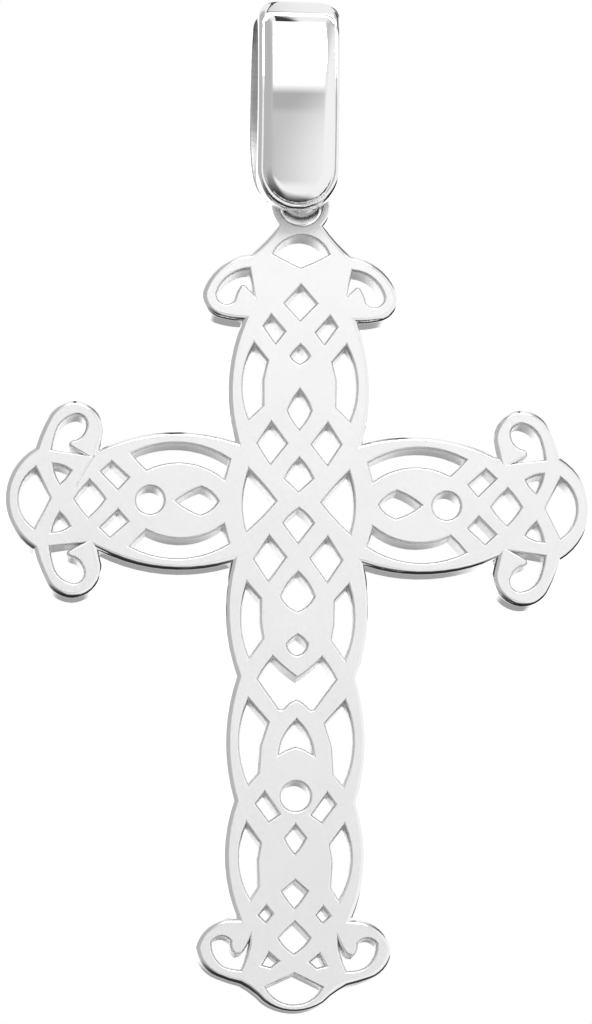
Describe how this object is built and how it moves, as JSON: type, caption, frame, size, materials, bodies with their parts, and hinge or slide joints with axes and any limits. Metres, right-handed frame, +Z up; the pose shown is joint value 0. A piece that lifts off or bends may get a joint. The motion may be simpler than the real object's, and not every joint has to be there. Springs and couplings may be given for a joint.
{
  "type": "cross pendant",
  "caption": "Flat metal cross pierced with interlaced strapwork and scrolled ends, hung by its eye from a polished strap bail with a domed front.",
  "frame": {"origin": "chain seat: the inside top of the bail's loop, at the middle of its width", "axes": "+Z up as the pendant hangs, front facing -Y, +X to the right seen from the front and along the chain's way through the bail"},
  "size_m": [0.0259, 0.0063, 0.0453],
  "materials": {
    "satin_silver": "fine satin face with polished cut walls",
    "polished_silver": "mirror polish"
  },
  "bodies": {
    "hanger": {"bail": "polished_silver"},
    "cross": {"cross_plate": "satin_silver"}
  },
  "joints": [
    {"name": "eye_swing", "type": "hinge", "parent": "hanger", "child": "cross", "pos_m": [0, 0, -0.00747], "axis": [1, 0, 0], "range_deg": [-20, 20]}
  ]
}
